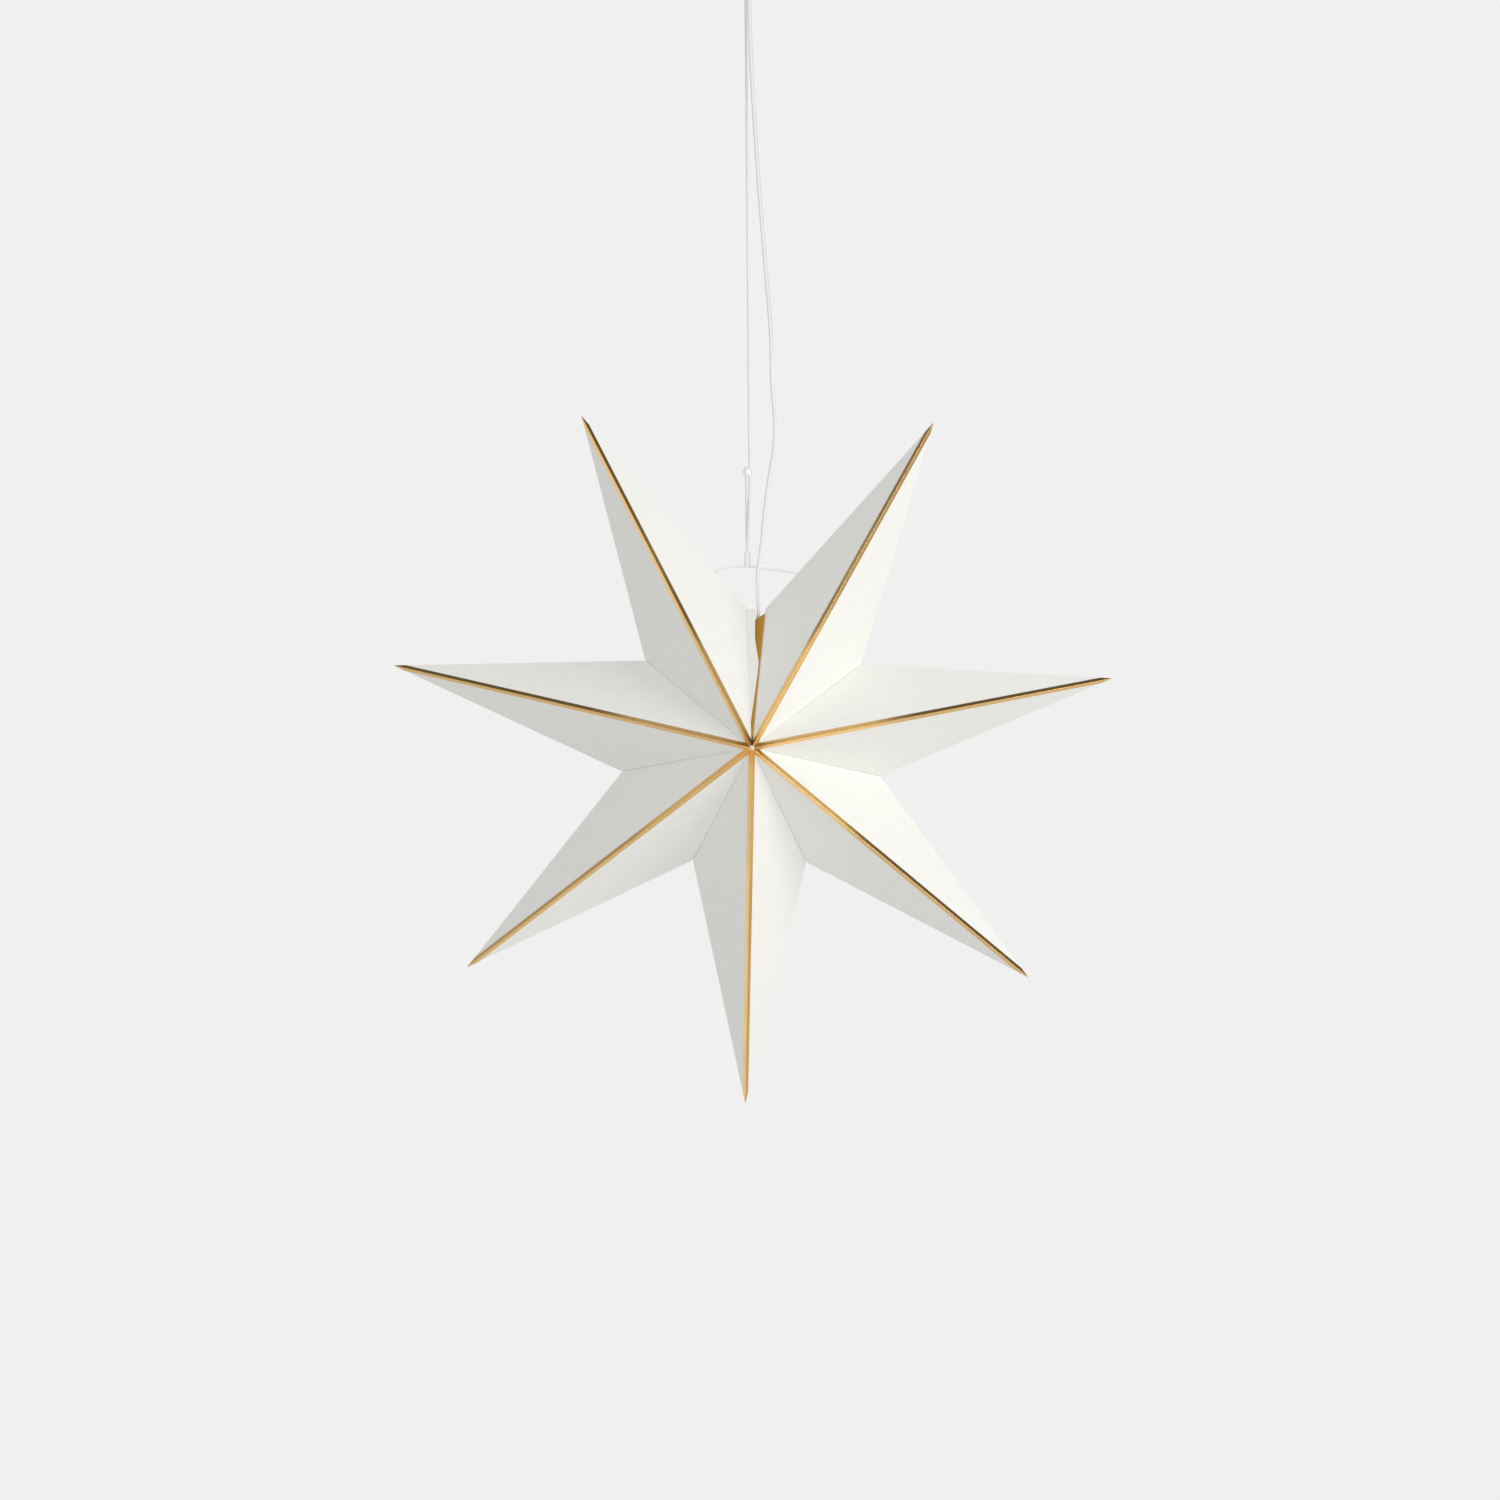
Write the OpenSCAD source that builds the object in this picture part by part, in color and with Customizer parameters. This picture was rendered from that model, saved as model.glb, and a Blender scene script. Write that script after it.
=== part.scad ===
// A seven-pointed star lantern of folded white card with gilded ridges. It hangs
// from a cord on a wire hanger, which also carries the lampholder and its bulb.
// Millimetres. +Z is up, the front faces -Y, and the origin is the middle of the
// bore of the ring that the whole lantern hangs from.

/* [Star] */
// Radius from the centre to each tip
tip_r = 300; // [260:5:340]
// Radius from the centre to each valley corner
valley_r = 109.4; // [100:1:118]
// Half of the depth, from the middle plane to the front centre
half_depth = 95; // [86:1:105]
// Angle that one folded point takes up round the centre
pitch = 50.45; // [49.8:0.05:50.8]
// Angle from straight up to the middle of the open seam, clockwise
seam_turn = 1.5; // [0:0.5:3]
// Number of folded points
points = 7; // [7:1:7]
// Height from the star's centre to the middle of the ring
drop = 745; // [730:1:800]

/* [Card] */
// Thickness of the card
card_t = 0.4; // [0.3:0.1:0.6]
// Width of the glue tabs inside the valleys
tab_w = 10; // [6:1:11]
// Angle from the first ridge to its edge at the seam
seam_side = 23.6; // [23:0.1:25]
// Gap that the flat tab leaves at the seam
seam_slit = 1.1; // [0.8:0.1:2]
// Radius at which the flat tab starts
flap_start_r = 18; // [14:1:24]
// Radius at which the flat tab is widest
flap_knee_r = 65; // [60:1:70]
// Radius at which the flat tab's edge turns in again
flap_shoulder_r = 77; // [74:1:79]
// Width of the flat tab there
flap_shoulder_w = 7; // [6.6:0.1:7.4]
// Radius of the flat tab's waist
flap_waist_r = 85; // [82:1:92]
// Width of the flat tab at its waist
flap_waist_w = 6.2; // [5:0.1:6.5]
// Width of the flat tab at its end
flap_foot_w = 7.4; // [6:0.1:8]
// Distance from the valley corner to the flat tab's end
flap_short = 1.6; // [1.2:0.1:3]
// Width of the gilded tab under the flat tab
lap_w = 12; // [10:0.5:13]
// Angle that the gilded tab leans under the flat tab
lap_turn = 50; // [40:1:56]
// Half of the lead's opening between the front and back gilded tabs
lap_mouth = 3.6; // [3.2:0.1:6]
// Radius at which the gilded tab starts
lap_start_r = 8; // [7.5:0.5:12]
// Radius at which the gilded tab has its full width
lap_full_r = 30; // [26:1:36]
// Bare strip between the fold line and the gilded tab's foil
lap_bare = 0.2; // [0.2:0.05:0.6]
// Depth of the seam's tabs under their fold lines
tab_sink = 0.1; // [0.08:0.01:0.15]
// Distance from a valley corner up its edge to the hanger's hole
hole_up = 38.6; // [34:0.1:42]
// Radius of the hanger's holes in the card
hole_r = 1.5; // [1.3:0.1:2]

/* [Gilding] */
// Thickness of the foil
foil_t = 0.08; // [0.06:0.01:0.12]
// Half of the foil band's width, seen from the front
foil_half_w = 2.7; // [2:0.1:3.5]
// Radius of bare white card where the seven bands meet
foil_start_r = 1.9; // [1.4:0.1:2.6]

/* [Hanger] */
// Diameter of the hanger's wire
wire_d = 1.5; // [1.2:0.1:1.8]
// Height of the arch's top over the star's centre
arch_up = 143.4; // [142:0.1:148]
// Sideways place of the cord clip, where the arch is highest
clip_x = -2.5; // [-4:0.5:0]
// Radius of the cord clip
clip_r = 2.5; // [2.3:0.1:3.2]
// Length of the cord clip
clip_len = 12.9; // [12:0.1:15]
// Length of the cord clip above the wire
clip_over = 11.2; // [9:0.1:12]
// Depth of the cord's sockets in the clip
clip_socket = 6; // [4:0.5:8]
// Clearance round wires and cords in their holes
slip = 0.1; // [0.05:0.05:0.2]

/* [Cord] */
// Diameter of the suspension cord
cord_d = 2; // [1.6:0.1:2.1]
// Radius of the adjusting bead
bead_r = 3.7; // [3.5:0.1:4.5]
// Height of the bead over the star's centre
bead_up = 220; // [200:5:240]
// Distance between the two strands in the bead
strand_gap = 2.7; // [2.5:0.1:3]
// Inner radius of the ring
ring_bore_r = 5.5; // [4:0.5:8]
// Width of the ring's rim
ring_rim = 2.5; // [2:0.5:4]
// Thickness of the ring
ring_t = 4; // [3:0.5:6]
// Length of the ring's shank
shank_len = 12; // [10:1:16]
// Radius of the ring's shank
shank_r = 2.4; // [2.1:0.1:3]

/* [Lamp] */
// Sideways place of the lampholder, in the middle of the hanger
lamp_x = 3.5; // [2.5:0.5:4]
// Height of the lampholder's top over the star's centre
lamp_up = 66; // [60:1:68]
// Outer radius of the lampholder
holder_r = 14; // [13.5:0.5:15]
// Height of the lampholder's domed cap
cap_h = 16; // [14:1:18]
// Length of the lampholder's skirt
skirt_h = 38; // [34:1:42]
// Wall of the lampholder's shells
shell_t = 1.4; // [1.2:0.1:2]
// Length of the insert inside the shells
insert_h = 22; // [18:1:24]
// Thickness of the insert's roof
insert_roof = 2; // [1.5:0.5:3]
// Depth of the insert's top under the cap's edge
insert_drop = 2; // [1:0.5:3]
// Height of the spring contact between the roof and the bulb
spring_h = 1; // [0.8:0.1:1.5]
// Height of the hanger's hooks over the cap's edge
hook_rise = 4; // [3:0.5:5]
// Radius of the bulb's screw cap
bulb_cap_r = 6.9; // [6.7:0.1:7]
// Length of the bulb's screw cap
bulb_cap_h = 24; // [22:1:25]
// Radius of the bulb's globe
globe_r = 22.5; // [20:0.5:23]
// Length of the bulb over all
bulb_len = 78; // [74:1:84]
// Thickness of the metal contacts
contact_t = 0.4; // [0.3:0.1:0.6]
// Length of the tapered cord grip
grip_len = 22; // [20:1:24]

/* [Lead] */
// Width of the flat twin lead
lead_w = 4.8; // [4.4:0.1:5]
// Thickness of the flat twin lead
lead_t = 2.8; // [2.4:0.1:3]
// Radius at the middle of the coil's turns
coil_mid_r = 28.8; // [26:0.1:30]
// Turns beside each other in the coil
coil_columns = 4; // [3:1:5]
// Turns on each other in the coil
coil_layers = 4; // [3:1:5]
// Thickness of the tie round the coil
tie_t = 1; // [0.6:0.1:1.5]
// Width of the tie round the coil
tie_w = 4.5; // [3:0.5:7]

/* [Plug] */
// Width of the plug's face
plug_w = 35.3; // [34:0.1:36]
// Thickness of the plug
plug_t = 13.7; // [13:0.1:14]
// Length of the plug's body
plug_h = 36; // [32:1:40]
// Length of the plug's tapered relief
relief_len = 23; // [20:1:30]
// Radius of each pin
pin_r = 2; // [1.9:0.05:2.1]
// Length of each pin
pin_len = 19; // [18:0.5:19.5]
// Distance between the pins
pin_gap = 18.6; // [17.5:0.1:19]

/* [Hidden] */

// Folded card: one panel lies in the plane n_u*u + n_v*v + n_y*y = 1, where u runs
// out to the tip, v across the point and y through the star's depth
half_pitch = pitch / 2;
gap = 360 - points * pitch;
seam_gap = gap + half_pitch - seam_side;
n_u = 1 / tip_r;
n_y = 1 / half_depth;
function n_v(half) = (1 - valley_r / tip_r * cos(half)) / (valley_r * sin(half));
n_len = norm([n_u, n_v(half_pitch), n_y]);
card_k = 1 - card_t * n_len;
foil_k = 1 + foil_t * n_len;
tab_k = 1 - tab_w * norm([1 / valley_r, 1 / half_depth]);
tab_back = card_t / sin(half_pitch);
past = 6;
far = 2 * tip_r;

// Angle clockwise from straight up to the tip of each point; 1 and 7 flank the seam
function tip_turn(i) = seam_turn + gap / 2 + half_pitch + (i - 1) * pitch;
last_turn = tip_turn(points);
first_turn = tip_turn(1);
function left_half(i) = i == 1 ? seam_side : half_pitch;

// Corners of the space under the four panels, grown by k, whose sides meet at a
// distance back behind the star's centre
function side_corner(k, back, half) =
    let (u = (k - n_v(half) * back * tan(half)) / (n_u + n_v(half) * tan(half)))
    [(u + back) * tan(half), 0, u];
function fold_corners(k, back, left) =
    let (
        y0 = (k + n_u * back) / n_y,
        l = side_corner(k, back, left),
        r = side_corner(k, back, half_pitch)
    )
    [[0, -y0, -back], [0, y0, -back], [0, 0, k * tip_r], [-l[0], 0, l[2]], r];
fold_faces = [[0, 2, 4], [0, 3, 2], [1, 4, 2], [1, 2, 3], [0, 4, 1], [0, 1, 3]];

// Places along the hanger: the holes lie on the edges beside the seam
function edge_hole(side, half) =
    let (
        corner = [side * valley_r * sin(half), 0, valley_r * cos(half)],
        tip = [0, 0, tip_r]
    )
    corner + hole_up * (tip - corner) / norm(tip - corner);
function turned(p, turn) = [
    p[0] * cos(turn) + p[2] * sin(turn), p[1], p[2] * cos(turn) - p[0] * sin(turn)
];
left_hole = turned(edge_hole(1, half_pitch), last_turn);
right_hole = turned(edge_hole(-1, seam_side), first_turn);
star_z = -drop;

// The flat tab bridges the seam between its two valley lines: a point of it at r up
// the seam's left line and across it. face is -1 at the front and 1 at the back
tab_over = 0.3;
left_line = last_turn + half_pitch;
right_line = first_turn - seam_side;
function flap_at(r, across, face) =
    let (up = r * cos(seam_gap / 2) + across * sin(seam_gap / 2))
    turned([across, face * (half_depth * (1 - up / (valley_r * cos(seam_gap / 2))) - tab_sink), r], left_line);
knee_turn = seam_gap - asin(seam_slit / flap_knee_r);
flap_outline = [
    [flap_start_r, -tab_over],
    [flap_knee_r * cos(knee_turn), flap_knee_r * sin(knee_turn)],
    [flap_shoulder_r, flap_shoulder_w], [flap_waist_r, flap_waist_w],
    [valley_r - flap_short, flap_foot_w], [valley_r - flap_short, -tab_over]
];

// The gilded tab leans under it from the seam's right line: a point at r up that line
// and w down the tab
tab_run = norm([half_depth, valley_r]);
function lap_in(face) = [0, -face * valley_r / tab_run, -half_depth / tab_run];
function lap_side(face) = cos(lap_turn) * lap_in(face) + sin(lap_turn) * [-1, 0, 0];
function lap_out(face) = cos(lap_turn) * [-1, 0, 0] - sin(lap_turn) * lap_in(face);
function lap_at(r, w, face) =
    turned([0, face * (half_depth * (1 - r / valley_r) - tab_sink), r] + w * lap_side(face), right_line);
function lap_reach(w) =
    valley_r * (1 - (lap_mouth + tab_sink + w * cos(lap_turn) * valley_r / tab_run) / half_depth);
function lap_outline(edge) = [
    [lap_start_r, edge], [lap_reach(edge), edge], [lap_reach(lap_w), lap_w], [lap_full_r, lap_w]
];
wire_r = wire_d / 2;

// Lampholder, counted from the star's centre
cap_z = lamp_up - cap_h;
skirt_z = cap_z - skirt_h;
insert_r = holder_r - shell_t - slip;
insert_top = cap_z - insert_drop;
insert_z = insert_top - insert_h;
bulb_top = insert_top - insert_roof - spring_h;
screw_r = bulb_cap_r + slip;
shell_r = screw_r + contact_t;
globe_z = bulb_top - bulb_len + globe_r;
cap_top_r = 7;
hook_z = cap_z + hook_rise;
hook_in = shell_t + 1.6;
lug_r = wire_r + 2.5 * slip;

// Hanger wire, seen from the front as sideways place and height over the centre
wire_half_route = [
    [holder_r - hook_in, 0], [holder_r - 1, 0], [holder_r + 1, 0], [holder_r + 4, 2.5], [holder_r + 8, 14],
    [holder_r + 16, 40], [holder_r + 24, 66]
];
wire_side = lamp_x;
wire_points = concat(
    [for (p = wire_half_route) [wire_side - p[0], 0, hook_z + p[1]]],
    [left_hole + [-5.5, 0, -6], left_hole + [-4, 0, -1.2], left_hole, left_hole + [9, 0, 3.6]],
    [[clip_x - 7, 0, arch_up - 0.4], [clip_x, 0, arch_up], [clip_x + 8, 0, arch_up - 1.2]],
    [[clip_x + 18, 0, arch_up - 2.9], right_hole + [-13, 0, 2.4]],
    [right_hole, right_hole + [4, 0, -1.4], right_hole + [5.5, 0, -6]],
    [for (i = [len(wire_half_route) - 1 : -1 : 0])
        [wire_side + wire_half_route[i][0], 0, hook_z + wire_half_route[i][1]]]
);

// Suspension cord and its return strand, both hand-placed: sideways, depth, height
// over the star's centre
cord_r = cord_d / 2;
cord_bore_r = cord_r + slip;
clip_top = arch_up + clip_over;
clip_z = clip_top - clip_len;
strand_y = cord_r + 1.5 * slip;
shank_z = -(ring_bore_r + ring_rim + shank_len);
shank_socket = 9;
bead_x = -strand_gap * 2 / 3;
cord_points = [
    [0, 0, drop + shank_z + shank_socket], [0, 0, 700], [0, 0, 600], [0, 0, 500], [0, 0, 400],
    [0, 0, 300], [0, 0, bead_up + 10], [0, 0, bead_up - 10],
    [-0.6, -0.3, 195], [-1.5, -0.9, 175], [clip_x, -strand_y, 160],
    [clip_x, -strand_y, clip_top - clip_socket]
];
return_points = [
    [clip_x, strand_y, clip_top - clip_socket], [clip_x, strand_y, 160],
    [-2.7, 0.9, 175], [-2.7, 0.3, 195],
    [-strand_gap, 0, bead_up - 10], [-strand_gap, 0, bead_up + bead_r + 1]
];

// Flat twin lead: sideways, depth, height over the star's centre, turn of its width
lead_points = [
    [3.5, 0, 67, 90], [3.5, 0, 78, 90], [3.7, 0, 88, 90], [5, 0, 96, 90],
    [6.3, -0.5, 104, 90], [6.2, -2, 113, 90], [5.6, -4, 125, 90], [6, -5.5, 138, 90],
    [7.6, -6, 150, 90], [9.7, -6, 165, 90], [12, -5.5, 188, 90], [15.6, -5, 214, 90],
    [19.6, -4, 236, 90], [21, -3, 256, 90], [20.2, -2, 275, 80], [19.3, -2, 295, 45],
    [19.5, -2, 315, 15], [18.9, -2, 335, 0], [16.4, -2, 370, 0], [13.2, -2, 412, 0],
    [10.2, -2.5, 452, 0], [7.4, -3, 500, 0], [5, -3.5, 545, 0], [3.8, -4, 590, 0],
    [3.7, -4.2, 630, 0], [3.7, -4.2, 660, 0], [3.7, -4.2, 692, 0]
];

// Coil of the lead's spare length: its axis runs sideways beside the cord
coil_w = coil_columns * lead_w;
coil_h = coil_layers * lead_t;
coil_x = cord_r + 0.3;
coil_z = 692;
coil_in_r = coil_mid_r - coil_h / 2;
coil_out_r = coil_mid_r + coil_h / 2;
coil_y = coil_out_r - lead_t / 2 - 4.2;
tail_x = coil_x + coil_w - lead_w / 2;
tail_z = coil_z + coil_out_r - lead_t / 2;
tail_bend = 20;
plug_clear = 0.8;
plug_y = coil_y + coil_out_r + plug_t / 2 + plug_clear;
relief_z = coil_z + 9;
plug_top = relief_z - relief_len;
tail_points = concat(
    [[tail_x, coil_y, tail_z, 0], [tail_x, coil_y + 8, tail_z, 0]],
    [for (a = [0 : 15 : 90])
        [tail_x, plug_y - tail_bend + tail_bend * sin(a), tail_z - tail_bend + tail_bend * cos(a), 0]],
    [[tail_x, plug_y, relief_z, 0], [tail_x, plug_y, plug_top + 3, 0]]
);
tie_z = coil_z;
tie_slack = 0.15;

// Curve through hand-placed points, with steps rings on each stretch
function curve_at(p0, p1, p2, p3, t) =
    0.5 * (2 * p1 + (p2 - p0) * t + (2 * p0 - 5 * p1 + 4 * p2 - p3) * t * t
        + (3 * p1 - p0 - 3 * p2 + p3) * t * t * t);
function curve(p, steps) =
    let (last = len(p) - 1)
    concat(
        [for (i = [0 : last - 1], s = [0 : steps - 1])
            curve_at(p[max(i - 1, 0)], p[i], p[i + 1], p[min(i + 2, last)], s / steps)],
        [p[last]]
    );
function unit(v) = v / norm(v);

// Flat plate from its corners in either order, thick by the vector shift
module plate(corners, shift) {
    count = len(corners);
    ordered = cross(corners[1] - corners[0], corners[2] - corners[1]) * shift > 0;
    outline = ordered ? corners : [for (i = [count - 1 : -1 : 0]) corners[i]];
    polyhedron(
        points = concat(outline, [for (c = outline) c + shift]),
        faces = concat(
            [[for (i = [0 : count - 1]) i]],
            [[for (i = [count - 1 : -1 : 0]) count + i]],
            [for (i = [0 : count - 1]) [(i + 1) % count, i, count + i, count + (i + 1) % count]]
        )
    );
}
function xyz(p) = [p[0], p[1], p[2]];
function along(path, i) =
    unit(xyz(path[min(i + 1, len(path) - 1)]) - xyz(path[max(i - 1, 0)]));
function ring_at(path, i, a, b, sides) =
    let (
        t = along(path, i),
        turn = path[i][3],
        w0 = [cos(turn), sin(turn), 0],
        w = unit(w0 - (w0 * t) * t),
        n = cross(t, w)
    )
    [for (s = [0 : sides - 1]) xyz(path[i]) + a * cos(360 * s / sides) * w
        + b * sin(360 * s / sides) * n];

// Tube of half width a and half thickness b along a path
module tube(path, a, b, sides) {
    rings = len(path);
    polyhedron(
        points = [for (i = [0 : rings - 1]) each ring_at(path, i, a, b, sides)],
        faces = concat(
            [[for (s = [0 : sides - 1]) s]],
            [for (i = [0 : rings - 2], s = [0 : sides - 1])
                [i * sides + s, (i + 1) * sides + s, (i + 1) * sides + (s + 1) % sides,
                    i * sides + (s + 1) % sides]],
            [[for (s = [sides - 1 : -1 : 0]) (rings - 1) * sides + s]]
        )
    );
}
function with_turn(points, turn) = [for (p = points) [p[0], p[1], p[2], turn]];

module at_star() translate([0, 0, star_z]) children();
module at_lamp() translate([lamp_x, 0, star_z]) children();
module at_tip(i) at_star() rotate([0, tip_turn(i), 0]) children();

// Folded card point with the glue tabs inside its valleys, open where seam is the
// side that lies at the seam
module fold(k, back, left) polyhedron(points = fold_corners(k, back, left), faces = fold_faces);
module folded_point(left, seam) difference() {
    fold(1, 0, left);
    fold(card_k, -tab_back, left);
    fold(tab_k, past, left);
    if (seam != 0) intersection() {
        fold(card_k, past, left);
        translate([(seam - 1) / 2 * far, -far / 2, -far / 2]) cube(far);
    }
    if (seam != 0) translate(edge_hole(seam, seam < 0 ? left : half_pitch)) sphere(hole_r);
}

module seam_flap(face)
    plate([for (p = flap_outline) flap_at(p[0], p[1], face)],
        card_t * turned(lap_in(face), (left_line + right_line) / 2));
module seam_lap(face, edge, thick)
    plate([for (p = lap_outline(edge)) lap_at(p[0], p[1], face)],
        thick * turned(lap_out(face), right_line));

module card_point(i) color("whitesmoke") at_star() union() {
    rotate([0, tip_turn(i), 0]) folded_point(left_half(i), i == 1 ? -1 : i == points ? 1 : 0);
    if (i == points) for (face = [-1, 1]) seam_flap(face);
    if (i == 1) for (face = [-1, 1]) seam_lap(face, -tab_over, -card_t);
}

// Foil band over the front ridge, round the tip and down the back ridge
module gold_edge(i) color("goldenrod")
    at_tip(i) difference() {
        intersection() {
            fold(foil_k, 0, left_half(i));
            translate([-foil_half_w, -far / 2, 0]) cube([2 * foil_half_w, far, far]);
        }
        fold(1, past, left_half(i));
        rotate([90, 0, 0]) cylinder(r = foil_start_r, h = far, center = true, $fn = 48);
    }

// Foil on the leaning tabs, front and back, that shows in the seam
module gold_seam_tab() color("goldenrod")
    at_star() for (face = [-1, 1]) seam_lap(face, lap_bare, foil_t);

// Wire hanger: an arch over the seam whose legs clip the lampholder
module hanger_wire() color("white")
    at_star() tube(curve(with_turn(wire_points, 90), 3), wire_r, wire_r, 10);

module cord_clip() color("whitesmoke")
    at_star() difference() {
        translate([clip_x, 0, clip_z]) cylinder(r = clip_r, h = clip_len, $fn = 48);
        for (side = [-1, 1]) translate([clip_x, side * strand_y, clip_top - clip_socket])
            cylinder(r = cord_r + slip / 2, h = clip_socket + 1, $fn = 32);
        translate([clip_x, 0, arch_up]) rotate([0, 90, 0])
            cylinder(r = wire_r + slip, h = 3 * clip_r, center = true, $fn = 32);
        translate([clip_x, 0, clip_z]) cube([3 * clip_r, wire_d * 0.8, 2 * (arch_up - clip_z)], center = true);
    }

module suspension_cord() color("gainsboro")
    at_star() tube(curve(with_turn(cord_points, 0), 2), cord_r, cord_r, 8);

module cord_return() color("gainsboro")
    at_star() tube(curve(with_turn(return_points, 0), 3), cord_r, cord_r, 8);

module cord_bead() color("white")
    at_star() difference() {
        translate([bead_x, 0, bead_up]) sphere(bead_r, $fn = 64);
        for (x = [0, -strand_gap]) translate([x, 0, bead_up])
            cylinder(r = cord_bore_r, h = 3 * bead_r, center = true, $fn = 32);
    }

// Ring with a flat-walled bore and a shank that takes the cord's end
module hanging_ring() color("white") {
    rim_round = 0.8;
    difference() {
        union() {
            rotate([90, 0, 0]) rotate_extrude($fn = 96) difference() {
                translate([ring_bore_r, -ring_t / 2]) square([ring_rim, ring_t]);
                for (side = [-1, 1]) translate([ring_bore_r + ring_rim, side * ring_t / 2])
                    rotate(45) square(rim_round, center = true);
            }
            translate([0, 0, shank_z]) cylinder(r = shank_r, h = shank_len + ring_rim / 2, $fn = 48);
        }
        translate([0, 0, shank_z - 1]) cylinder(r = cord_bore_r, h = shank_socket + 1, $fn = 32);
    }
}

// Lampholder: domed cap, skirt, insert and contacts
module holder_cap() color("white")
    at_lamp() difference() {
        translate([0, 0, cap_z]) rotate_extrude($fn = 96)
            polygon([
                [0, cap_h], [cap_top_r, cap_h], [holder_r - 2, cap_h * 0.62], [holder_r, cap_h * 0.4],
                [holder_r, 0], [holder_r - shell_t, 0], [holder_r - shell_t, cap_h * 0.35],
                [holder_r - 2 - shell_t, cap_h * 0.55], [cap_top_r - 1, cap_h - shell_t], [0, cap_h - shell_t]
            ]);
        translate([0, 0, lamp_up]) cube([lead_t + 2 * slip, lead_w + 2 * slip, 4 * shell_t], center = true);
        translate([0, 0, hook_z]) rotate([0, 90, 0])
            cylinder(r = lug_r, h = 3 * holder_r, center = true, $fn = 32);
    }

module holder_skirt() color("white")
    at_lamp() translate([0, 0, skirt_z]) difference() {
        cylinder(r = holder_r, h = skirt_h, $fn = 96);
        translate([0, 0, -1]) cylinder(r = holder_r - shell_t, h = skirt_h + 2, $fn = 96);
    }

module holder_insert() color("ivory")
    at_lamp() translate([0, 0, insert_z]) difference() {
        cylinder(r = insert_r, h = insert_h, $fn = 96);
        translate([0, 0, -1]) cylinder(r = shell_r, h = insert_h - insert_roof + 1, $fn = 64);
    }

module contact_shell() color("gold")
    at_lamp() translate([0, 0, insert_z]) difference() {
        cylinder(r = shell_r, h = insert_h - 4, $fn = 64);
        translate([0, 0, -1]) cylinder(r = screw_r, h = insert_h, $fn = 64);
    }

module contact_spring() color("gold")
    at_lamp() translate([-1.5, -4, bulb_top]) cube([3, 6, spring_h]);

module cord_grip() color("white")
    at_lamp() difference() {
        translate([0, 0, lamp_up]) cylinder(r1 = 5.5, r2 = 3.6, h = grip_len, $fn = 64);
        translate([0, 0, lamp_up - 1]) linear_extrude(grip_len + 2)
            square([lead_t + 4 * slip, lead_w + 4 * slip], center = true);
    }

// Golf-ball bulb with its screw cap, one sealed piece
module bulb() color("white")
    at_lamp() rotate_extrude($fn = 96) {
        neck_z = bulb_top - bulb_cap_h;
        neck_turn = 40;
        polygon(concat(
            [[0, bulb_top], [3, bulb_top], [bulb_cap_r, bulb_top - 4], [bulb_cap_r, neck_z],
                [bulb_cap_r + 0.8, neck_z - 3]],
            [for (a = [neck_turn : 5 : 180])
                [max(globe_r * sin(a), 0), globe_z + globe_r * cos(a)]]
        ));
    }

// Flat lead from the lampholder out of the seam and up to the coil
module lead() color("white")
    at_star() tube(curve(lead_points, 2), lead_w / 2, lead_t / 2, 10);

module lead_coil() color("white")
    at_star() difference() {
        translate([coil_x, coil_y, coil_z]) rotate([0, 90, 0]) rotate_extrude($fn = 96)
            translate([coil_in_r, 0]) square([coil_h, coil_w]);
        translate([coil_x - 1, coil_y - coil_out_r - 1, coil_z - coil_out_r])
            cube([lead_w + 1, lead_t + 1, coil_out_r]);
        translate([tail_x - lead_w / 2, coil_y, tail_z - lead_t / 2])
            cube([lead_w + 1, coil_out_r, lead_t + 1]);
    }

module coil_tie() color("white") {
    tie_in_w = coil_w + cord_d + 0.3 + 2 * tie_slack;
    tie_in_h = coil_h + 2 * tie_slack;
    tie_mid_x = (coil_x + coil_w - cord_r) / 2;
    tie_mid_y = coil_y - coil_mid_r;
    at_star() translate([tie_mid_x, tie_mid_y, tie_z]) linear_extrude(tie_w, center = true)
        difference() {
            square([tie_in_w + 2 * tie_t, tie_in_h + 2 * tie_t], center = true);
            square([tie_in_w, tie_in_h], center = true);
        }
}

module lead_tail() color("white")
    at_star() tube(curve(tail_points, 1), lead_w / 2, lead_t / 2, 10);

// Flat two-pin plug with a tapered relief
module plug_relief() color("white")
    at_star() translate([tail_x, plug_y, plug_top]) difference() {
        cylinder(r1 = 5.6, r2 = 3.5, h = relief_len, $fn = 64);
        translate([0, 0, 3]) linear_extrude(relief_len)
            square([lead_w + 2 * slip, lead_t + 2 * slip], center = true);
    }

module plug_body() color("white")
    at_star() translate([tail_x, plug_y, plug_top - plug_h]) {
        corner = 4;
        neck_w = 13;
        intersection() {
            linear_extrude(plug_h) polygon([
                [-plug_w / 2 + corner, -plug_t / 2], [plug_w / 2 - corner, -plug_t / 2],
                [plug_w / 2, 0], [plug_w / 2 - corner, plug_t / 2],
                [-plug_w / 2 + corner, plug_t / 2], [-plug_w / 2, 0]
            ]);
            rotate([90, 0, 0]) linear_extrude(2 * plug_t, center = true) polygon([
                [-plug_w / 2, 0], [plug_w / 2, 0], [plug_w / 2, plug_h * 0.35],
                [neck_w / 2, plug_h], [-neck_w / 2, plug_h], [-plug_w / 2, plug_h * 0.35]
            ]);
        }
    }

module plug_pins() color("silver")
    at_star() translate([tail_x, plug_y, plug_top - plug_h - pin_len])
        for (side = [-1, 1]) translate([side * pin_gap / 2, 0, 0]) {
            translate([0, 0, pin_r]) cylinder(r = pin_r, h = pin_len - pin_r, $fn = 48);
            translate([0, 0, pin_r]) sphere(pin_r, $fn = 48);
        }

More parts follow.
